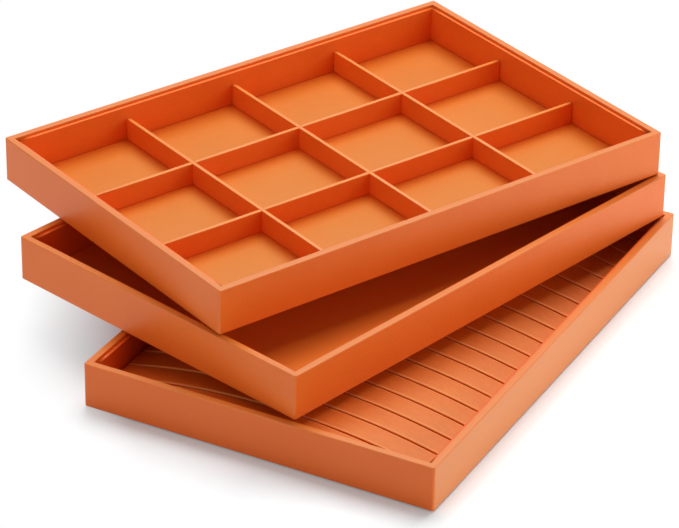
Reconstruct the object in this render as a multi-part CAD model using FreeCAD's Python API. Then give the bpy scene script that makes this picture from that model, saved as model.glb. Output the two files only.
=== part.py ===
# Set of three stacking jewelry trays, fanned out on each other. Millimetres, +Z up.
# Origin: middle of the bottom tray's underside. X runs along the bottom tray's long side.
import FreeCAD, Part
import os

Vector = FreeCAD.Vector

# Outside of one tray
tray_length = 270.0
tray_width = 185.0
tray_height = 24.0

# Leatherette cover, drawn over the wall boards and turned in under the base board
cover_thickness = 0.6
cover_corner_round = 1.2
cover_rim_round = 0.5
cover_rim_inner_round = 0.4
cover_foot_bevel = 0.5
turn_in_width = 12.0

# Boards inside the cover
wall_board_thickness = 2.5
base_board_thickness = 2.0

# Wrapped liner boards inside the walls, lower than the rim
liner_thickness = 1.8
liner_step = 1.4
liner_round = 0.4

# Wrapped floor panel between the liners, and the room that it and the ring pad's board have there
floor_thickness = 1.3
floor_round = 0.5
panel_clearance = 0.2

# Felt panel under the base, with an infill that levels the turn-ins
felt_thickness = 0.5
felt_inset = 2.5
felt_corner_round = 3.0
infill_clearance = 0.5

# Divider grid of the top tray
cell_column_count = 4
cell_row_count = 3
divider_thickness = 2.1
divider_step = 8.0
divider_end_gap = 0.6
divider_round = 0.4
divider_foot_round = 0.4
lap_clearance = 0.1
lap_height_share = 0.5

# Crowned ring pad of the bottom tray
pad_board_thickness = 1.3
pad_clearance = 0.4
strip_count = 19
end_strip_width_share = 0.67
slot_width = 1.2
slot_lip_bevel = 1.0
strip_edge_height = 5.0
crown_step = 3.6

# Fan of the stack: turns in degrees, and places of the tray middles from the bottom tray's
middle_turn_angle = -15.1
middle_shift_x = 23.5
middle_shift_y = 35.5
top_turn_angle = -25.2
top_shift_x = 44.9
top_shift_y = 55.4

# Overrun of cuts past the faces they open
cut_overrun = 2.0

# Levels above the surface that a tray stands on
cover_low = felt_thickness
base_low = cover_low + cover_thickness
base_top = base_low + base_board_thickness
floor_top = base_top + floor_thickness
liner_top = tray_height - liner_step
divider_top = tray_height - divider_step
pad_board_top = base_top + pad_board_thickness
crown_top = tray_height - crown_step
crown_edge = pad_board_top + strip_edge_height

# Half sizes from the outside in
wall_thickness = wall_board_thickness + 2 * cover_thickness
board_half_length = tray_length / 2 - cover_thickness
board_half_width = tray_width / 2 - cover_thickness
walled_half_length = tray_length / 2 - wall_thickness
walled_half_width = tray_width / 2 - wall_thickness
inner_half_length = walled_half_length - liner_thickness
inner_half_width = walled_half_width - liner_thickness


def block(half_length, half_width, low, high):
    """Box centred on the tray's middle, between two levels."""
    corner = Vector(-half_length, -half_width, low)
    return Part.makeBox(2 * half_length, 2 * half_width, high - low, corner)


def prism(points, low, high):
    """Upright solid over a closed plan outline."""
    corners = [Vector(x, y, low) for x, y in points]
    outline = Part.makePolygon(corners + corners[:1])
    return Part.Face(outline).extrude(Vector(0, 0, high - low))


def chosen_edges(shape, test):
    """Edges whose middle point and direction pass the test."""
    found = []
    for edge in shape.Edges:
        middle = edge.valueAt((edge.FirstParameter + edge.LastParameter) / 2)
        run = edge.Vertexes[-1].Point - edge.Vertexes[0].Point
        if test(middle, run):
            found.append(edge)
    return found


def near(a, b):
    """Equal within a small share of the tray's length."""
    same_place_share = 1e-6
    return abs(a - b) < tray_length * same_place_share


def rounded_uprights(shape, radius):
    """Rounds the upright edges of a block."""
    edges = chosen_edges(shape, lambda middle, run: near(run.x, 0) and near(run.y, 0))
    return shape.makeFillet(radius, edges)


def level_edges(shape, level):
    """Edges that lie at one level."""
    return chosen_edges(shape, lambda middle, run: near(middle.z, level) and near(run.z, 0))


def rounded_level_along(shape, level, along, radius):
    """Rounds the straight edges at one level that run along X or along Y."""
    def runs_along(middle, run):
        across = run.y if along == "x" else run.x
        return near(middle.z, level) and near(run.z, 0) and near(across, 0)
    return shape.makeFillet(radius, chosen_edges(shape, runs_along))


# Pieces that every tray has

def on_mouth(point):
    """True for a point on the upright faces round the tray's mouth."""
    on_long = near(abs(point.y), walled_half_width) and abs(point.x) < walled_half_length
    on_short = near(abs(point.x), walled_half_length) and abs(point.y) < walled_half_width
    return on_long or on_short


def cover():
    """Leatherette skin: outside face, rim, inner face down to the base board, and the turn-ins below."""
    skin = block(tray_length / 2, tray_width / 2, cover_low, tray_height)
    skin = rounded_uprights(skin, cover_corner_round)
    skin = skin.makeFillet(cover_rim_round, level_edges(skin, tray_height))
    skin = skin.makeChamfer(cover_foot_bevel, level_edges(skin, cover_low))
    mouth = block(walled_half_length, walled_half_width, base_top, tray_height + cut_overrun)
    skin = skin.cut(mouth)
    rim_edge = chosen_edges(skin, lambda middle, run: near(middle.z, tray_height) and on_mouth(middle))
    skin = skin.makeFillet(cover_rim_inner_round, rim_edge)
    base_room = block(board_half_length, board_half_width, base_low, base_top)
    wall_room = block(board_half_length, board_half_width, base_top, tray_height - cover_thickness)
    inner_skin = block(
        walled_half_length + cover_thickness,
        walled_half_width + cover_thickness,
        base_top,
        tray_height - cover_thickness,
    )
    wall_room = wall_room.cut(inner_skin)
    under = block(
        tray_length / 2 - turn_in_width,
        tray_width / 2 - turn_in_width,
        cover_low - cut_overrun,
        base_low,
    )
    return skin.cut([base_room, wall_room, under])


def wall_boards():
    """Four boards with mitred ends, standing on the base board inside the cover."""
    x_out, y_out = board_half_length, board_half_width
    x_in = x_out - wall_board_thickness
    y_in = y_out - wall_board_thickness
    low, high = base_top, tray_height - cover_thickness
    front = prism([(-x_out, -y_out), (x_out, -y_out), (x_in, -y_in), (-x_in, -y_in)], low, high)
    right = prism([(x_out, -y_out), (x_out, y_out), (x_in, y_in), (x_in, -y_in)], low, high)
    return {
        "front_wall": front,
        "back_wall": front.mirror(Vector(0, 0, 0), Vector(0, 1, 0)),
        "right_wall": right,
        "left_wall": right.mirror(Vector(0, 0, 0), Vector(1, 0, 0)),
    }


def liners():
    """Four wrapped boards: the long ones run from end to end, the short ones stand between them."""
    middle_y = walled_half_width - liner_thickness / 2
    middle_x = walled_half_length - liner_thickness / 2
    long_liner = block(walled_half_length, liner_thickness / 2, base_top, liner_top)
    long_liner = rounded_level_along(long_liner, liner_top, "x", liner_round)
    short_liner = block(liner_thickness / 2, inner_half_width, base_top, liner_top)
    short_liner = rounded_level_along(short_liner, liner_top, "y", liner_round)
    return {
        "front_liner": long_liner.translated(Vector(0, -middle_y, 0)),
        "back_liner": long_liner.translated(Vector(0, middle_y, 0)),
        "left_liner": short_liner.translated(Vector(-middle_x, 0, 0)),
        "right_liner": short_liner.translated(Vector(middle_x, 0, 0)),
    }


def base_board():
    """Board under the walls, inside the cover."""
    return block(board_half_length, board_half_width, base_low, base_top)


def underside_panel():
    """Felt sheet over the turn-ins, with the infill that fills the space between them."""
    felt = block(tray_length / 2 - felt_inset, tray_width / 2 - felt_inset, 0, felt_thickness)
    felt = rounded_uprights(felt, felt_corner_round)
    border = turn_in_width + infill_clearance
    infill = block(tray_length / 2 - border, tray_width / 2 - border, felt_thickness, base_low)
    return felt.fuse(infill).removeSplitter()


def floor_panel():
    """Wrapped panel on the base board, between the liners."""
    half_length = inner_half_length - panel_clearance
    half_width = inner_half_width - panel_clearance
    panel = block(half_length, half_width, base_top, floor_top)
    return panel.makeFillet(floor_round, level_edges(panel, floor_top))


def tray_pieces(tray):
    """The pieces that all three trays share, by node name."""
    pieces = {"base_board": base_board(), "cover": cover(), "underside_panel": underside_panel()}
    pieces.update(wall_boards())
    pieces.update(liners())
    return {tray + "_" + name: shape for name, shape in pieces.items()}


# Divider grid of the top tray

def divider_places(count, inner_half):
    """Middles of the dividers that share an inside length into equal cells."""
    pitch = (2 * inner_half + divider_thickness) / count
    return [pitch * (index - count / 2) for index in range(1, count)]


def divider(half_length, slots, open_at_top):
    """Wrapped board along X with a half-lap slot for each crossing divider."""
    board = block(half_length, divider_thickness / 2, floor_top, divider_top)
    board = rounded_level_along(board, divider_top, "x", divider_round)
    board = rounded_level_along(board, floor_top, "x", divider_foot_round)
    lap = floor_top + (divider_top - floor_top) * lap_height_share
    low, high = lap - lap_clearance / 2, divider_top + cut_overrun
    if not open_at_top:
        low, high = floor_top - cut_overrun, lap + lap_clearance / 2
    half_slot = divider_thickness / 2 + lap_clearance
    for place in slots:
        slot = block(half_slot, divider_thickness, low, high)
        board = board.cut(slot.translated(Vector(place, 0, 0)))
    return board


def divider_grid():
    """Two long dividers, slotted from above, and three short ones, slotted from below."""
    short_places = divider_places(cell_column_count, inner_half_length)
    long_places = divider_places(cell_row_count, inner_half_width)
    long_board = divider(inner_half_length - divider_end_gap, short_places, True)
    short_board = divider(inner_half_width - divider_end_gap, long_places, False)
    quarter_turn = 90
    short_board.rotate(Vector(0, 0, 0), Vector(0, 0, 1), quarter_turn)
    pieces = {}
    for side, place in zip(("front", "back"), long_places):
        pieces["long_divider_" + side] = long_board.translated(Vector(0, place, 0))
    for side, place in zip(("left", "centre", "right"), short_places):
        pieces["short_divider_" + side] = short_board.translated(Vector(place, 0, 0))
    return pieces


# Ring pad of the bottom tray

def pad_board():
    """Board that carries the ring pad's strips."""
    half_length = inner_half_length - panel_clearance
    half_width = inner_half_width - panel_clearance
    return block(half_length, half_width, base_top, pad_board_top)


def strip(low_x, high_x):
    """Foam strip from the front liner to the back one, with a crowned top and soft edges."""
    half_width = inner_half_width - pad_clearance
    low_front = Vector(low_x, -half_width, pad_board_top)
    low_back = Vector(low_x, half_width, pad_board_top)
    front = Vector(low_x, -half_width, crown_edge)
    back = Vector(low_x, half_width, crown_edge)
    crown = Part.Arc(front, Vector(low_x, 0, crown_top), back).toShape()
    sides = [
        Part.makeLine(back, low_back),
        Part.makeLine(low_back, low_front),
        Part.makeLine(low_front, front),
    ]
    outline = Part.Wire([crown] + sides)
    bar = Part.Face(outline).extrude(Vector(high_x - low_x, 0, 0))
    top_edges = chosen_edges(bar, lambda middle, run: middle.z > crown_edge or near(middle.z, crown_edge))
    return bar.makeChamfer(slot_lip_bevel, top_edges)


def ring_strips():
    """Equal strips parted by slots, with a narrower one at each end."""
    half_length = inner_half_length - pad_clearance
    foam_length = 2 * half_length - (strip_count - 1) * slot_width
    shares = [end_strip_width_share] + [1] * (strip_count - 2) + [end_strip_width_share]
    full_width = foam_length / sum(shares)
    pieces = {}
    low_x = -half_length
    for index, share in enumerate(shares, 1):
        high_x = low_x + full_width * share
        pieces["ring_strip_%02d" % index] = strip(low_x, high_x)
        low_x = high_x + slot_width
    return pieces


# The stack

def placed(pieces, turn, shift_x, shift_y, level):
    """Turns a tray's pieces about the upright and sets them on the stack."""
    moved = {}
    for name, shape in pieces.items():
        copy = shape.copy()
        copy.rotate(Vector(0, 0, 0), Vector(0, 0, 1), turn)
        copy.translate(Vector(shift_x, shift_y, level))
        moved[name] = copy
    return moved


def bottom_tray():
    """Tray with the crowned ring pad."""
    pieces = tray_pieces("bottom")
    pieces["ring_pad_board"] = pad_board()
    pieces.update(ring_strips())
    return placed(pieces, 0, 0, 0, 0)


def middle_tray():
    """Open tray."""
    pieces = tray_pieces("middle")
    pieces["middle_floor_panel"] = floor_panel()
    return placed(pieces, middle_turn_angle, middle_shift_x, middle_shift_y, tray_height)


def top_tray():
    """Tray with the divider grid."""
    pieces = tray_pieces("top")
    pieces["top_floor_panel"] = floor_panel()
    pieces.update(divider_grid())
    return placed(pieces, top_turn_angle, top_shift_x, top_shift_y, 2 * tray_height)


def main():
    os.makedirs("parts", exist_ok=True)
    for tray in (bottom_tray(), middle_tray(), top_tray()):
        for name, shape in tray.items():
            shape.exportStep("parts/" + name + ".step")


main()
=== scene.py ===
import bpy
import bmesh
import math
from mathutils import Matrix, Vector, noise


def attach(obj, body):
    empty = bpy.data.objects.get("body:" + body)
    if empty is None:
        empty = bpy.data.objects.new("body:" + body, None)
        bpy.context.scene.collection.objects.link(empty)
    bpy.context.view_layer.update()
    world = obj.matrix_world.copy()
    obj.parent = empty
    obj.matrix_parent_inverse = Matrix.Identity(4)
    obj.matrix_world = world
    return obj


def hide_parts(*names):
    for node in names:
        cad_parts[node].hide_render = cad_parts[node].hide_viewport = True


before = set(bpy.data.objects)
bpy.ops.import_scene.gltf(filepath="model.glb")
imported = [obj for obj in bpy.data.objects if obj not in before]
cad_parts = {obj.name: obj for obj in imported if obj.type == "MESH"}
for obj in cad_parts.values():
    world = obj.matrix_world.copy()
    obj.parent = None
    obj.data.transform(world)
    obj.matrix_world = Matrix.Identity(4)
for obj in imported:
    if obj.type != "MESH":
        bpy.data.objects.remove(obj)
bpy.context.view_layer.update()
mm = 0.001
print("frame loaded:", len(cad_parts), "nodes")

# Where each tray stands in the fan: millimetres and degrees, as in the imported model
trays = {
    "bottom": {"turn": 0.0, "shift": (0.0, 0.0), "level": 0.0, "body": "bottom_tray"},
    "middle": {"turn": -15.1, "shift": (23.5, 35.5), "level": 24.0, "body": "middle_tray"},
    "top": {"turn": -25.2, "shift": (44.9, 55.4), "level": 48.0, "body": "top_tray"},
}


def trayPlace(tray):
    place = trays[tray]
    turn = Matrix.Rotation(math.radians(place["turn"]), 4, "Z")
    shift = Vector((place["shift"][0], place["shift"][1], place["level"])) * mm
    return Matrix.Translation(shift) @ turn @ Matrix.Scale(mm, 4)


# Material helpers

def newMaterial(name):
    material = bpy.data.materials.new(name)
    material.use_nodes = True
    return material, material.node_tree.nodes, material.node_tree.links


def noiseNode(nodes, links, vector, scale, detail, roughness):
    node = nodes.new("ShaderNodeTexNoise")
    node.inputs["Scale"].default_value = scale
    node.inputs["Detail"].default_value = detail
    node.inputs["Roughness"].default_value = roughness
    links.new(vector, node.inputs["Vector"])
    return node


def rangeNode(nodes, links, source, low, high, toLow, toHigh):
    node = nodes.new("ShaderNodeMapRange")
    node.inputs["From Min"].default_value = low
    node.inputs["From Max"].default_value = high
    node.inputs["To Min"].default_value = toLow
    node.inputs["To Max"].default_value = toHigh
    links.new(source, node.inputs["Value"])
    return node


def mixColour(nodes, links, share, colourA, colourB):
    node = nodes.new("ShaderNodeMix")
    node.data_type = "RGBA"
    links.new(share, node.inputs["Factor"])
    for socket, colour in ((node.inputs["A"], colourA), (node.inputs["B"], colourB)):
        if isinstance(colour, tuple):
            socket.default_value = (*colour, 1.0)
        else:
            links.new(colour, socket)
    return node


# Leatherette: a dyed, finely pebbled skin over board or foam; noises give scale, detail and roughness
grain = {
    "clouds": (28.0, 3.0, 0.55), "cloudRange": (0.3, 0.7),
    "drift": (420.0, 2.0, 0.5), "pull": 0.0009, "pebbleSmoothness": 0.35, "creaseRange": (0.25, 0.75),
    "poresPerPebble": 2.6, "pores": (2.0, 0.6), "poreRange": (0.3, 0.7), "poreHeight": 0.35,
    "streaks": (850.0, 2.0, 0.6), "streakRange": (0.35, 0.7), "streakStretch": (1.0, 0.22, 1.0),
    "pebbleFoot": 0.8, "bumpHeight": 0.00012, "glossSpread": 0.06,
}


def leatherette(name, look):
    material, nodes, links = newMaterial(name)
    shader = nodes["Principled BSDF"]
    place = nodes.new("ShaderNodeTexCoord").outputs["Object"]
    # soft clouds of the dye
    clouds = noiseNode(nodes, links, place, *grain["clouds"])
    cloudShare = rangeNode(nodes, links, clouds.outputs["Fac"], *grain["cloudRange"], 0.0, 1.0)
    dyed = mixColour(nodes, links, cloudShare.outputs["Result"], look["dark"], look["light"])
    # pebbles of the embossed grain, pulled about a little so that they aren't even
    drift = noiseNode(nodes, links, place, *grain["drift"])
    pulled = nodes.new("ShaderNodeMix")
    pulled.data_type = "VECTOR"
    pulled.inputs["Factor"].default_value = grain["pull"]
    links.new(place, pulled.inputs["A"])
    links.new(drift.outputs["Color"], pulled.inputs["B"])
    pebbles = nodes.new("ShaderNodeTexVoronoi")
    pebbles.feature = "SMOOTH_F1"
    pebbles.inputs["Scale"].default_value = look["pebbleScale"]
    pebbles.inputs["Smoothness"].default_value = grain["pebbleSmoothness"]
    links.new(pulled.outputs["Result"], pebbles.inputs["Vector"])
    pebbleEdge = pebbles.outputs["Distance"]
    creaseShare = rangeNode(nodes, links, pebbleEdge, *grain["creaseRange"], 0.0, look["crease"])
    skin = mixColour(nodes, links, creaseShare.outputs["Result"], dyed.outputs["Result"], look["crease_and_painted_shade"])
    if "nap" in look:
        # brushed streaks along the strips
        stretch = nodes.new("ShaderNodeMapping")
        stretch.inputs["Scale"].default_value = grain["streakStretch"]
        links.new(place, stretch.inputs["Vector"])
        streaks = noiseNode(nodes, links, stretch.outputs["Vector"], *grain["streaks"])
        streakShare = rangeNode(nodes, links, streaks.outputs["Fac"], *grain["streakRange"], 0.0, look["nap"])
        skin = mixColour(nodes, links, streakShare.outputs["Result"], skin.outputs["Result"], look["crease_and_painted_shade"])
    # painted light and shade: these layers mix other colours in where the surfaces are lit or shaded, as
    # painted light on the lit rim tops and the lowest front face, painted highlights on the divider tops and
    # slot lips, and painted shade at the top floor's wall feet, over the middle floor, on the lowest left end
    # and on the lower trays' liners
    for layer in ("edge", "painted_light_and_shade", "crease_and_painted_shade"):
        if layer in look:
            painted = nodes.new("ShaderNodeAttribute")
            painted.attribute_name = layer
            skin = mixColour(nodes, links, painted.outputs["Fac"], skin.outputs["Result"], look[layer])
    links.new(skin.outputs["Result"], shader.inputs["Base Color"])
    # the pebbles stand up, with pores in them
    pores = noiseNode(nodes, links, place, look["pebbleScale"] * grain["poresPerPebble"], *grain["pores"])
    pebbleHeight = rangeNode(nodes, links, pebbleEdge, 0.0, grain["pebbleFoot"], 1.0, 0.0)
    height = nodes.new("ShaderNodeMath")
    height.operation = "MULTIPLY_ADD"
    links.new(pores.outputs["Fac"], height.inputs[0])
    height.inputs[1].default_value = grain["poreHeight"]
    links.new(pebbleHeight.outputs["Result"], height.inputs[2])
    bump = nodes.new("ShaderNodeBump")
    bump.inputs["Strength"].default_value = look["bump"]
    bump.inputs["Distance"].default_value = grain["bumpHeight"]
    links.new(height.outputs["Value"], bump.inputs["Height"])
    links.new(bump.outputs["Normal"], shader.inputs["Normal"])
    glossiest = look["roughness"] - grain["glossSpread"]
    dullest = look["roughness"] + grain["glossSpread"]
    gloss = rangeNode(nodes, links, pores.outputs["Fac"], *grain["poreRange"], glossiest, dullest)
    links.new(gloss.outputs["Result"], shader.inputs["Roughness"])
    shader.inputs["Specular IOR Level"].default_value = look["specular"]
    shader.inputs["Specular Tint"].default_value = (*look["sheen"], 1.0)
    return material


# painted light and shade in this look: 'edge' is painted light on the lit rim tops, the second painted colour
# is painted light on the lowest front face, and the grain's crease colour doubles as painted shade on the
# lowest left end
coverLeather = leatherette("cover_leatherette", {
    "dark": (0.94, 0.178, 0.012), "light": (0.97, 0.198, 0.017), "crease_and_painted_shade": (0.80, 0.11, 0.006),
    "edge": (0.74, 0.176, 0.015), "painted_light_and_shade": (0.79, 0.21, 0.015), "crease": 0.25,
    "pebbleScale": 1500.0, "bump": 0.20, "roughness": 0.42, "specular": 0.58, "sheen": (0.95, 1.0, 0.8),
})
# the grain's crease colour doubles as painted shade on the lower trays' liners
linerLeather = leatherette("liner_leatherette", {
    "dark": (0.94, 0.172, 0.014), "light": (0.97, 0.194, 0.019), "crease_and_painted_shade": (0.76, 0.11, 0.007), "crease": 0.25,
    "pebbleScale": 1500.0, "bump": 0.20, "roughness": 0.44, "specular": 0.40, "sheen": (1.0, 1.0, 0.8),
})
# 'edge' is a painted highlight on the divider tops
dividerLeather = leatherette("divider_leatherette", {
    "dark": (0.93, 0.168, 0.013), "light": (0.96, 0.190, 0.018), "crease_and_painted_shade": (0.75, 0.11, 0.007),
    "edge": (0.86, 0.260, 0.045), "crease": 0.25,
    "pebbleScale": 1500.0, "bump": 0.20, "roughness": 0.42, "specular": 0.46, "sheen": (1.0, 1.0, 0.8),
})
# painted light: the floor skin is a less red copy of the wall leatherette, for floors lit from above; 'edge'
# is painted shade at the feet of the top floor's walls and dividers, and the second painted colour is painted
# shade over the middle floor
floorLeather = leatherette("floor_leatherette", {
    "dark": (0.67, 0.139, 0.008), "light": (0.71, 0.159, 0.011), "crease_and_painted_shade": (0.61, 0.09, 0.004),
    "edge": (0.88, 0.132, 0.008), "painted_light_and_shade": (0.94, 0.195, 0.020), "crease": 0.25,
    "pebbleScale": 1350.0, "bump": 0.22, "roughness": 0.50, "specular": 0.77, "sheen": (0.70, 0.97, 0.30),
})
# painted light: the pad skin is a less red copy of the wall leatherette, for the lit pad top; 'edge' is a
# painted highlight on the slot lips
padLeather = leatherette("pad_leatherette", {
    "dark": (0.74, 0.118, 0.006), "light": (0.79, 0.142, 0.009), "crease_and_painted_shade": (0.63, 0.08, 0.003),
    "edge": (0.90, 0.25, 0.06), "crease": 0.3, "nap": 0.5,
    "pebbleScale": 1200.0, "bump": 0.28, "roughness": 0.50, "specular": 0.58, "sheen": (0.60, 1.0, 0.45),
})
print("leatherette ready")


# Felt under the trays and the bare board inside them

def matteMaterial(name, look):
    material, nodes, links = newMaterial(name)
    shader = nodes["Principled BSDF"]
    place = nodes.new("ShaderNodeTexCoord").outputs["Object"]
    flecks = noiseNode(nodes, links, place, *look["flecks"])
    share = rangeNode(nodes, links, flecks.outputs["Fac"], *look["fleckRange"], 0.0, 1.0)
    colour = mixColour(nodes, links, share.outputs["Result"], look["dark"], look["light"])
    links.new(colour.outputs["Result"], shader.inputs["Base Color"])
    fibres = noiseNode(nodes, links, place, *look["fibres"])
    bump = nodes.new("ShaderNodeBump")
    bump.inputs["Strength"].default_value = look["bump"]
    bump.inputs["Distance"].default_value = look["bumpHeight"]
    links.new(fibres.outputs["Fac"], bump.inputs["Height"])
    links.new(bump.outputs["Normal"], shader.inputs["Normal"])
    shader.inputs["Roughness"].default_value = look["roughness"]
    shader.inputs["Specular IOR Level"].default_value = look["specular"]
    shader.inputs["Sheen Weight"].default_value = look["fuzz"]
    return material


undersideFelt = matteMaterial("underside_felt", {
    "dark": (0.82, 0.075, 0.008), "light": (0.90, 0.095, 0.012), "fleckRange": (0.3, 0.7),
    "flecks": (260.0, 4.0, 0.65), "fibres": (2400.0, 3.0, 0.7), "bump": 0.6, "bumpHeight": 0.0002,
    "roughness": 0.95, "specular": 0.15, "fuzz": 0.35,
})
greyBoard = matteMaterial("grey_board", {
    "dark": (0.24, 0.20, 0.16), "light": (0.36, 0.31, 0.25), "fleckRange": (0.35, 0.65),
    "flecks": (700.0, 4.0, 0.7), "fibres": (700.0, 4.0, 0.7), "bump": 0.2, "bumpHeight": 0.0001,
    "roughness": 0.9, "specular": 0.2, "fuzz": 0.0,
})
print("felt and board ready")


# Shaping helpers: meshes are shaped in a tray's own millimetres and then set in the fan
creaseAngle = 0.6  # radians: a sharper edge is a crease
levelSlack = 0.001  # closer than this is level
sideSlack = 0.01  # closer than this is on a side
cutSnap = 0.0001  # a cut takes over vertices closer than this
longEdge = 100.0  # only edges along a board are longer
shortEdge = 5.0  # slots, laps and rounds are shorter
seedSteps = (17.3, 5.1, 9.7)  # moves the noise on for each seed
normalWeight = 60  # over 50, large faces count for more in the shading


def finishPiece(name, bm, tray, body, node, material):
    bmesh.ops.transform(bm, matrix=trayPlace(tray), verts=bm.verts)
    mesh = bpy.data.meshes.new(name)
    bm.to_mesh(mesh)
    bm.free()
    for polygon in mesh.polygons:
        polygon.use_smooth = True
    mesh.materials.append(material)
    piece = bpy.data.objects.new(name, mesh)
    bpy.context.scene.collection.objects.link(piece)
    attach(piece, body)
    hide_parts(node)
    return piece


def evenNormals(piece):
    modifier = piece.modifiers.new("even normals", "WEIGHTED_NORMAL")
    modifier.keep_sharp = True
    modifier.weight = normalWeight


def roundEdges(bm, edges, radius, segments):
    bmesh.ops.bevel(bm, geom=edges, offset=radius, offset_type="OFFSET", segments=segments,
                    profile=0.5, affect="EDGES", material=-1, clamp_overlap=True)


def creases(bm, test):
    found = []
    for edge in bm.edges:
        if len(edge.link_faces) == 2 and edge.calc_face_angle(0.0) > creaseAngle and test(edge):
            found.append(edge)
    return found


def atLevel(edge, level):
    return all(abs(vert.co.z - level) < levelSlack for vert in edge.verts)


def block(size, middle):
    bm = bmesh.new()
    bmesh.ops.create_cube(bm, size=1.0)
    bmesh.ops.scale(bm, vec=Vector(size), verts=bm.verts)
    bmesh.ops.translate(bm, vec=Vector(middle), verts=bm.verts)
    return bm


def divideLong(bm, cuts):
    edges = [edge for edge in bm.edges if edge.calc_length() > longEdge]
    if edges:
        bmesh.ops.subdivide_edges(bm, edges=edges, cuts=cuts, use_grid_fill=True)


def cutThrough(bm, place, axis):
    everything = list(bm.verts) + list(bm.edges) + list(bm.faces)
    bmesh.ops.bisect_plane(bm, geom=everything, dist=cutSnap, plane_co=place, plane_no=axis)


def waver(bm, amount, wave, seed):
    bm.normal_update()
    start = Vector([seed * step for step in seedSteps])
    for vert in bm.verts:
        vert.co += vert.normal * noise.noise(vert.co / wave + start) * amount


def paint(bm, layerName, shareOf):
    layer = bm.verts.layers.float.new(layerName)
    for vert in bm.verts:
        vert[layer] = shareOf(vert)


# Covers: one skin drawn from the turn-ins, up the outside, over the rim and down the inside
coverShape = {
    "length": 270.0, "width": 185.0, "low": 0.5, "top": 24.0, "wall": 3.7, "innerLow": 3.1, "turnIn": 12.0,
    "cornerRound": 1.2, "rimRound": 0.5, "innerRound": 0.35, "footRound": 0.5, "skin": 0.35,
    "cuts": 27, "waver": 0.05, "wave": 30.0, "frontPaintedLight": 1.0, "leftEndPaintedShade": 0.45,
}


def coverLoop(bm, edges, length, width, level):
    made = bmesh.ops.extrude_edge_only(bm, edges=edges)["geom"]
    for vert in (item for item in made if isinstance(item, bmesh.types.BMVert)):
        vert.co = Vector((math.copysign(length / 2, vert.co.x), math.copysign(width / 2, vert.co.y), level))
    return [item for item in made if isinstance(item, bmesh.types.BMEdge)]


def makeCover(tray, seed):
    shape = coverShape
    length, width, wall = shape["length"], shape["width"], shape["wall"]
    low, top = shape["low"], shape["top"]
    bm = bmesh.new()
    squared = Matrix.Rotation(math.pi / 4, 4, "Z")
    bmesh.ops.create_circle(bm, segments=4, radius=math.sqrt(0.5), matrix=squared)
    for vert in bm.verts:
        vert.co.x = math.copysign(length / 2 - shape["turnIn"], vert.co.x)
        vert.co.y = math.copysign(width / 2 - shape["turnIn"], vert.co.y)
        vert.co.z = low
    loop = list(bm.edges)
    loop = coverLoop(bm, loop, length, width, low)
    loop = coverLoop(bm, loop, length, width, top)
    loop = coverLoop(bm, loop, length - 2 * wall, width - 2 * wall, top)
    coverLoop(bm, loop, length - 2 * wall, width - 2 * wall, shape["innerLow"])
    bmesh.ops.recalc_face_normals(bm, faces=bm.faces)
    rimFace = max(bm.faces, key=lambda face: face.calc_center_median().z)
    if rimFace.normal.z < 0:
        bmesh.ops.reverse_faces(bm, faces=bm.faces)

    def outside(vert):
        return (abs(vert.co.x) > length / 2 - wall + sideSlack
                or abs(vert.co.y) > width / 2 - wall + sideSlack)

    def corner(edge):
        a, b = edge.verts
        return abs(a.co.z - b.co.z) > shortEdge and outside(a) and outside(b)

    def outerRim(edge):
        return atLevel(edge, top) and outside(edge.verts[0])

    def innerRim(edge):
        return atLevel(edge, top) and not outside(edge.verts[0])

    roundEdges(bm, creases(bm, corner), shape["cornerRound"], segments=6)
    roundEdges(bm, creases(bm, outerRim), shape["rimRound"], segments=5)
    roundEdges(bm, creases(bm, innerRim), shape["innerRound"], segments=4)
    roundEdges(bm, creases(bm, lambda edge: atLevel(edge, low)), shape["footRound"], segments=3)
    divideLong(bm, shape["cuts"])
    # painted light: the lit rim tops get the less red 'edge' colour
    paint(bm, "edge", lambda vert: float(vert.co.z > top - shape["rimRound"] / 2))
    if tray == "bottom":
        # painted light: the lowest front face gets a paler, less red colour; painted shade: the lowest left
        # end gets a deeper colour
        frontSide, leftSide = sideSlack - width / 2, sideSlack - length / 2
        paint(bm, "painted_light_and_shade", lambda vert: shape["frontPaintedLight"] if vert.co.y < frontSide else 0.0)
        paint(bm, "crease_and_painted_shade", lambda vert: shape["leftEndPaintedShade"] if vert.co.x < leftSide else 0.0)
    waver(bm, shape["waver"], shape["wave"], seed)
    cover = finishPiece(tray + "_cover_skin", bm, tray, trays[tray]["body"], tray + "_cover",
                        coverLeather)
    skin = cover.modifiers.new("skin", "SOLIDIFY")
    skin.thickness = shape["skin"] * mm
    skin.offset = -1.0
    skin.use_even_offset = True
    evenNormals(cover)


for seed, tray in enumerate(trays):
    makeCover(tray, seed)
print("covers wrapped")

# Liners: wrapped boards inside the walls, a step lower than the rim; the middle and bottom trays' liners, in
# the shade of the trays above, get a deeper painted shade
linerShape = {
    "thickness": 1.8, "low": 3.1, "top": 22.6, "round": 0.4, "halfLength": 131.3, "halfWidth": 88.8,
    "cuts": 23, "waver": 0.05, "wave": 26.0, "firstSeed": 10, "lowerPaintedShade": 0.8,
}
linerSides = ("front", "back", "left", "right")


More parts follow.
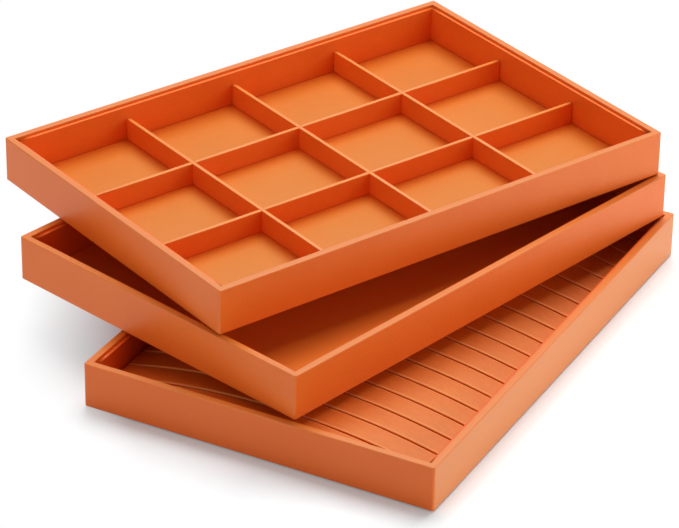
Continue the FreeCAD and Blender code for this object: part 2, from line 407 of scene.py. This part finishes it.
def makeLiner(tray, side, seed):
    shape = linerShape
    thickness = shape["thickness"]
    high = shape["top"] - shape["low"]
    middleZ = (shape["top"] + shape["low"]) / 2
    sign = -1.0 if side in ("front", "left") else 1.0
    if side in ("front", "back"):
        size = (2 * shape["halfLength"], thickness, high)
        middle = (0.0, sign * (shape["halfWidth"] - thickness / 2), middleZ)
    else:
        size = (thickness, 2 * (shape["halfWidth"] - thickness), high)
        middle = (sign * (shape["halfLength"] - thickness / 2), 0.0, middleZ)
    bm = block(size, middle)

    def topLong(edge):
        return atLevel(edge, shape["top"]) and edge.calc_length() > longEdge

    roundEdges(bm, creases(bm, topLong), shape["round"], segments=4)
    divideLong(bm, shape["cuts"])
    # painted shade: every liner of a lower tray gets the deeper colour
    if tray != "top":
        paint(bm, "crease_and_painted_shade", lambda vert: shape["lowerPaintedShade"])
    waver(bm, shape["waver"], shape["wave"], seed)
    node = tray + "_" + side + "_liner"
    liner = finishPiece(node + "_wrap", bm, tray, trays[tray]["body"], node,
                        linerLeather)
    evenNormals(liner)


for trayIndex, tray in enumerate(trays):
    for sideIndex, side in enumerate(linerSides):
        makeLiner(tray, side, linerShape["firstSeed"] + len(linerSides) * trayIndex + sideIndex)
print("liners wrapped")

# Divider grid: long boards slotted from above, short boards slotted from below
gridShape = {
    "thickness": 2.1, "low": 4.4, "top": 16.0, "round": 0.4, "footRound": 0.4, "endGap": 0.6,
    "lapClearance": 0.1, "innerHalfLength": 129.5, "innerHalfWidth": 87.0, "columns": 4, "rows": 3,
}


def dividerPlaces(count, innerHalf):
    pitch = (2 * innerHalf + gridShape["thickness"]) / count
    return [pitch * (index - count / 2) for index in range(1, count)]


shortPlaces = dividerPlaces(gridShape["columns"], gridShape["innerHalfLength"])
longPlaces = dividerPlaces(gridShape["rows"], gridShape["innerHalfWidth"])

# Floor panels of the middle and top trays; painted shade: the middle floor is redder all over, and the top
# floor is redder along the walls and under the dividers
floorShape = {
    "length": 258.6, "width": 173.6, "low": 3.1, "top": 4.4, "round": 0.5,
    "cuts": 30, "waver": 0.06, "wave": 45.0, "middlePaintedShade": 1.0,
    "paintedShadeReach": 3.2, "paintedShadeSteps": (0.0, 1.2, 3.0, 6.0, 10.0),
}


def clearOf(value, places, innerHalf):
    half = gridShape["thickness"] / 2
    gaps = [innerHalf - abs(value)] + [abs(value - place) - half for place in places]
    return max(min(gaps), 0.0)


def paintedShadeLines(bm, axis, places, innerHalf):
    half = gridShape["thickness"] / 2
    for step in floorShape["paintedShadeSteps"]:
        sides = [innerHalf - step, step - innerHalf]
        for place in places:
            sides += [place - half - step, place + half + step]
        for side in sides:
            cutThrough(bm, axis * side, axis)


def makeFloor(tray, seed):
    shape = floorShape
    size = (shape["length"], shape["width"], shape["top"] - shape["low"])
    bm = block(size, (0.0, 0.0, (shape["top"] + shape["low"]) / 2))
    topEdges = creases(bm, lambda edge: atLevel(edge, shape["top"]))
    roundEdges(bm, topEdges, shape["round"], segments=4)
    divideLong(bm, shape["cuts"])
    if tray == "middle":
        # painted shade: the middle floor, mostly under the top tray, gets the redder colour all over
        paint(bm, "painted_light_and_shade", lambda vert: shape["middlePaintedShade"])
    else:
        halfLength, halfWidth = gridShape["innerHalfLength"], gridShape["innerHalfWidth"]
        paintedShadeLines(bm, Vector((1.0, 0.0, 0.0)), shortPlaces, halfLength)
        paintedShadeLines(bm, Vector((0.0, 1.0, 0.0)), longPlaces, halfWidth)

        def paintedShadeShare(vert):
            clear = min(clearOf(vert.co.x, shortPlaces, halfLength),
                        clearOf(vert.co.y, longPlaces, halfWidth))
            return math.exp(-clear / shape["paintedShadeReach"])

        # painted shade: redder next to the walls and dividers, fading out with the distance from them
        paint(bm, "edge", paintedShadeShare)
    waver(bm, shape["waver"], shape["wave"], seed)
    panel = finishPiece(tray + "_floor_wrap", bm, tray, trays[tray]["body"], tray + "_floor_panel",
                        floorLeather)
    evenNormals(panel)


makeFloor("middle", seed=31)
makeFloor("top", seed=32)
print("floor panels wrapped")


def dividerBoard(halfLength, slots, openAtTop):
    shape = gridShape
    low, top = shape["low"], shape["top"]
    lap = (low + top) / 2
    halfSlot = shape["thickness"] / 2 + shape["lapClearance"]
    if openAtTop:
        slotMouth, slotEnd, shutSide = top, lap - shape["lapClearance"] / 2, low
    else:
        slotMouth, slotEnd, shutSide = low, lap + shape["lapClearance"] / 2, top
    profile = [(-halfLength, shutSide), (-halfLength, slotMouth)]
    for place in slots:
        profile += [(place - halfSlot, slotMouth), (place - halfSlot, slotEnd),
                    (place + halfSlot, slotEnd), (place + halfSlot, slotMouth)]
    profile += [(halfLength, slotMouth), (halfLength, shutSide)]
    bm = bmesh.new()
    corners = [bm.verts.new((x, -shape["thickness"] / 2, z)) for x, z in profile]
    side = bm.faces.new(corners)
    made = bmesh.ops.extrude_face_region(bm, geom=[side])["geom"]
    moved = [item for item in made if isinstance(item, bmesh.types.BMVert)]
    bmesh.ops.translate(bm, vec=Vector((0.0, shape["thickness"], 0.0)), verts=moved)
    bmesh.ops.recalc_face_normals(bm, faces=bm.faces)

    def longAt(edge, level):
        a, b = edge.verts
        return atLevel(edge, level) and abs(a.co.x - b.co.x) > shortEdge

    roundEdges(bm, creases(bm, lambda edge: longAt(edge, top)), shape["round"], segments=4)
    roundEdges(bm, creases(bm, lambda edge: longAt(edge, low)), shape["footRound"], segments=3)
    # painted highlight: the divider tops get the paler 'edge' colour
    paint(bm, "edge", lambda vert: float(vert.co.z > top - shape["round"] / 2))
    return bm


def makeDivider(node, halfLength, slots, openAtTop, place, turned):
    bm = dividerBoard(halfLength, slots, openAtTop)
    if turned:
        bmesh.ops.rotate(bm, matrix=Matrix.Rotation(math.pi / 2, 3, "Z"), verts=bm.verts)
    shift = Vector((place, 0.0, 0.0)) if turned else Vector((0.0, place, 0.0))
    bmesh.ops.translate(bm, vec=shift, verts=bm.verts)
    divider = finishPiece(node + "_wrap", bm, "top", "divider_grid", node,
                          dividerLeather)
    evenNormals(divider)


longHalf = gridShape["innerHalfLength"] - gridShape["endGap"]
shortHalf = gridShape["innerHalfWidth"] - gridShape["endGap"]
for side, place in zip(("front", "back"), longPlaces):
    makeDivider("long_divider_" + side, longHalf, shortPlaces, openAtTop=True, place=place, turned=False)
for side, place in zip(("left", "centre", "right"), shortPlaces):
    makeDivider("short_divider_" + side, shortHalf, longPlaces, openAtTop=False, place=place, turned=True)
print("divider grid slotted together")

# Ring pad: foam strips with a crowned top, drawn in a little at the slots
padShape = {
    "halfLength": 129.1, "halfWidth": 86.6, "low": 4.4, "edge": 9.4, "crown": 20.4, "slot": 1.2, "count": 19,
    "endShare": 0.67, "startHeight": 1.0, "rows": 24, "crossCuts": 5, "bulge": 0.15, "swell": 0.2,
    "uneven": 0.08, "unevenWave": (6.0, 22.0), "unevenStep": 3.7,
    "lipRound": 0.85, "lipMargin": 0.3, "lipPaintedHighlight": 1.0, "lipSlack": 0.1, "lipAbove": 1.0,
}


def crownLevel(y):
    rise = padShape["crown"] - padShape["edge"]
    radius = (padShape["halfWidth"] ** 2 + rise ** 2) / (2 * rise)
    return padShape["crown"] - radius + math.sqrt(radius ** 2 - y ** 2)


def makeStrip(number, lowX, highX):
    shape = padShape
    low, start = shape["low"], shape["startHeight"]
    width, middleX = highX - lowX, (lowX + highX) / 2
    bm = block((width, 2 * shape["halfWidth"], start), (middleX, 0.0, low + start / 2))
    divideLong(bm, shape["rows"] - 1)
    for vert in bm.verts:
        if vert.co.z > low + start / 2:
            vert.co.z = crownLevel(vert.co.y)
    bm.normal_update()

    def onTop(edge):
        return all(vert.co.z > shape["edge"] - sideSlack for vert in edge.verts)

    def acrossTop(edge):
        a, b = edge.verts
        return abs(a.co.x - b.co.x) > width / 2 and onTop(edge)

    roundEdges(bm, creases(bm, onTop), shape["lipRound"], segments=4)
    topEdges = [edge for edge in bm.edges if acrossTop(edge)]
    bmesh.ops.subdivide_edges(bm, edges=topEdges, cuts=shape["crossCuts"], use_grid_fill=True)
    lipLine = width / 2 - shape["lipRound"] - shape["lipMargin"]
    for side in (-lipLine, lipLine):
        cutThrough(bm, Vector((middleX + side, 0.0, 0.0)), Vector((1.0, 0.0, 0.0)))
    waveX, waveY = shape["unevenWave"]
    for vert in bm.verts:
        if vert.co.z > low + sideSlack:
            across = (vert.co.x - middleX) / (width / 2)
            soft = noise.noise(Vector((vert.co.x / waveX, vert.co.y / waveY, number * shape["unevenStep"])))
            vert.co.z += soft * shape["uneven"] - across ** 2 * shape["swell"] / 2

    def onLip(vert):
        fromEdge = width / 2 - abs(vert.co.x - middleX)
        nearEdge = shape["lipSlack"] < fromEdge < shape["lipRound"] + shape["lipSlack"]
        return nearEdge and vert.co.z > low + shape["lipAbove"]

    # painted highlight: the slot lips get the paler 'edge' colour
    paint(bm, "edge", lambda vert: shape["lipPaintedHighlight"] if onLip(vert) else 0.0)
    node = "ring_strip_%02d" % number
    strip = finishPiece(node + "_foam", bm, "bottom", "bottom_tray", node, padLeather)
    evenNormals(strip)


shares = [padShape["endShare"]] + [1.0] * (padShape["count"] - 2) + [padShape["endShare"]]
foamLength = 2 * padShape["halfLength"] - (padShape["count"] - 1) * padShape["slot"]
stripStart = -padShape["halfLength"]
for stripNumber, share in enumerate(shares, 1):
    stripEnd = stripStart + foamLength * share / sum(shares)
    makeStrip(stripNumber, stripStart - padShape["bulge"], stripEnd + padShape["bulge"])
    stripStart = stripEnd + padShape["slot"]
print("ring pad filled")

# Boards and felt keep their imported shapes
for nodeName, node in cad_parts.items():
    if nodeName.endswith("underside_panel"):
        node.data.materials.clear()
        node.data.materials.append(undersideFelt)
    elif nodeName.endswith(("_wall", "_base_board")) or nodeName == "ring_pad_board":
        node.data.materials.clear()
        node.data.materials.append(greyBoard)
print("boards and felt dressed")

# Stage: a white floor that keeps the shadow, a white room, and soft studio light
stageLook = {
    "floorSize": 8.0, "floorColour": (0.86, 0.86, 0.86), "floorSeen": (1.08, 1.03, 1.03),
    "shadeLift": (0.03, 0.13, 0.145), "farSeen": (0.0, 0.0, 0.0), "farLift": (1.0, 1.0, 1.0),
    "whiteCentre": (0.10, -0.25, 0.0), "whiteFrom": 0.395, "whiteTo": 0.45,
    "roomColour": (1.0, 1.0, 1.0), "roomLight": 0.15, "roomSeen": 1.0,
    "aim": (0.03, 0.04, 0.03), "cardAim": (0.25, -0.443, 1.0006),
    "keyPower": 40.5, "keyPlace": (0.86, 0.20, 1.8), "keySize": (1.5, 1.5),
    "fillPower": 7.2, "fillPlace": (0.2, -1.6, 0.5), "fillSize": (1.2, 0.8),
    "sidePower": 4.6, "sidePlace": (-1.49, 0.566, 0.46), "sideSize": (1.0, 0.8),
    "cardPower": 0.55, "cardPlace": (0.25, -0.443, 0.0006), "cardSize": (0.78, 0.70),
}


def seenRays(nodes, links):
    rays = nodes.new("ShaderNodeLightPath")
    mirrored = nodes.new("ShaderNodeMath")
    mirrored.operation = "MAXIMUM"
    links.new(rays.outputs["Is Glossy Ray"], mirrored.inputs[0])
    links.new(rays.outputs["Is Transmission Ray"], mirrored.inputs[1])
    seen = nodes.new("ShaderNodeMath")
    seen.operation = "MAXIMUM"
    links.new(rays.outputs["Is Camera Ray"], seen.inputs[0])
    links.new(mirrored.outputs["Value"], seen.inputs[1])
    return seen


def stagePaper(look):
    material, nodes, links = newMaterial("stage_white")
    nodes.remove(nodes["Principled BSDF"])
    paper = nodes.new("ShaderNodeBsdfDiffuse")
    lift = nodes.new("ShaderNodeEmission")
    # a cool lift takes the warm bounce out of the shade, and away from the set the floor turns plain white
    coords = nodes.new("ShaderNodeTexCoord")
    away = nodes.new("ShaderNodeVectorMath")
    away.operation = "DISTANCE"
    away.inputs[1].default_value = look["whiteCentre"]
    links.new(coords.outputs["Object"], away.inputs[0])
    whiteRange = rangeNode(nodes, links, away.outputs["Value"], look["whiteFrom"], look["whiteTo"], 0.0, 1.0)
    whiteShare = whiteRange.outputs["Result"]
    liftColour = mixColour(nodes, links, whiteShare, look["shadeLift"], look["farLift"])
    links.new(liftColour.outputs["Result"], lift.inputs["Color"])
    paperSeen = mixColour(nodes, links, whiteShare, look["floorSeen"], look["farSeen"])
    seen = seenRays(nodes, links)
    tone = mixColour(nodes, links, seen.outputs["Value"], look["floorColour"], paperSeen.outputs["Result"])
    links.new(tone.outputs["Result"], paper.inputs["Color"])
    links.new(seen.outputs["Value"], lift.inputs["Strength"])
    both = nodes.new("ShaderNodeAddShader")
    links.new(paper.outputs["BSDF"], both.inputs[0])
    links.new(lift.outputs["Emission"], both.inputs[1])
    links.new(both.outputs["Shader"], nodes["Material Output"].inputs["Surface"])
    return material


def stageFloor(look):
    bm = bmesh.new()
    bmesh.ops.create_grid(bm, x_segments=1, y_segments=1, size=look["floorSize"] / 2)
    mesh = bpy.data.meshes.new("stage_floor")
    bm.to_mesh(mesh)
    bm.free()
    mesh.materials.append(stagePaper(look))
    floor = bpy.data.objects.new("stage_floor", mesh)
    bpy.context.scene.collection.objects.link(floor)


def stageRoom(look):
    world = bpy.data.worlds.new("white_room")
    bpy.context.scene.world = world
    world.use_nodes = True
    nodes, links = world.node_tree.nodes, world.node_tree.links
    seen = seenRays(nodes, links)
    strength = rangeNode(nodes, links, seen.outputs["Value"], 0.0, 1.0, look["roomLight"], look["roomSeen"])
    links.new(strength.outputs["Result"], nodes["Background"].inputs["Strength"])
    nodes["Background"].inputs["Color"].default_value = (*look["roomColour"], 1.0)


def softLight(name, power, place, size, aim):
    light = bpy.data.lights.new(name, "AREA")
    light.shape = "RECTANGLE"
    light.size, light.size_y = size
    light.energy = power
    lamp = bpy.data.objects.new(name, light)
    lamp.location = place
    lamp.rotation_euler = (aim - place).to_track_quat("-Z", "Y").to_euler()
    lamp.visible_camera = False
    bpy.context.scene.collection.objects.link(lamp)


stageFloor(stageLook)
stageRoom(stageLook)
for lamp, aim in (("key", "aim"), ("fill", "aim"), ("side", "aim"), ("card", "cardAim")):
    softLight(lamp + "_light", stageLook[lamp + "Power"], Vector(stageLook[lamp + "Place"]),
              stageLook[lamp + "Size"], Vector(stageLook[aim]))
bpy.context.scene.view_settings.view_transform = "Standard"
print("stage lit")

# Camera at the photograph's viewing angle
cameraLook = {
    "azimuth": -62.383, "elevation": 29.993, "roll": 0.866, "distance": 1.78121,
    "right": -0.024379, "up": 0.031292, "lens": 192.07, "sensor": 36.0,
}


def photoCamera(look):
    azimuth, elevation, roll = (math.radians(look[key]) for key in ("azimuth", "elevation", "roll"))
    back = Vector((math.sin(azimuth) * math.cos(elevation), -math.cos(azimuth) * math.cos(elevation),
                   math.sin(elevation)))
    right = Vector((math.cos(azimuth), math.sin(azimuth), 0.0))
    up = back.cross(right)
    rolledRight = right * math.cos(roll) + up * math.sin(roll)
    rolledUp = up * math.cos(roll) - right * math.sin(roll)
    place = rolledRight * look["right"] + rolledUp * look["up"] + back * look["distance"]
    lens = bpy.data.cameras.new("photo_camera")
    lens.lens = look["lens"]
    lens.sensor_width = look["sensor"]
    camera = bpy.data.objects.new("photo_camera", lens)
    camera.matrix_world = Matrix((
        (rolledRight.x, rolledUp.x, back.x, place.x),
        (rolledRight.y, rolledUp.y, back.y, place.y),
        (rolledRight.z, rolledUp.z, back.z, place.z),
        (0.0, 0.0, 0.0, 1.0),
    ))
    bpy.context.scene.collection.objects.link(camera)
    bpy.context.scene.camera = camera


photoCamera(cameraLook)
print("camera set")
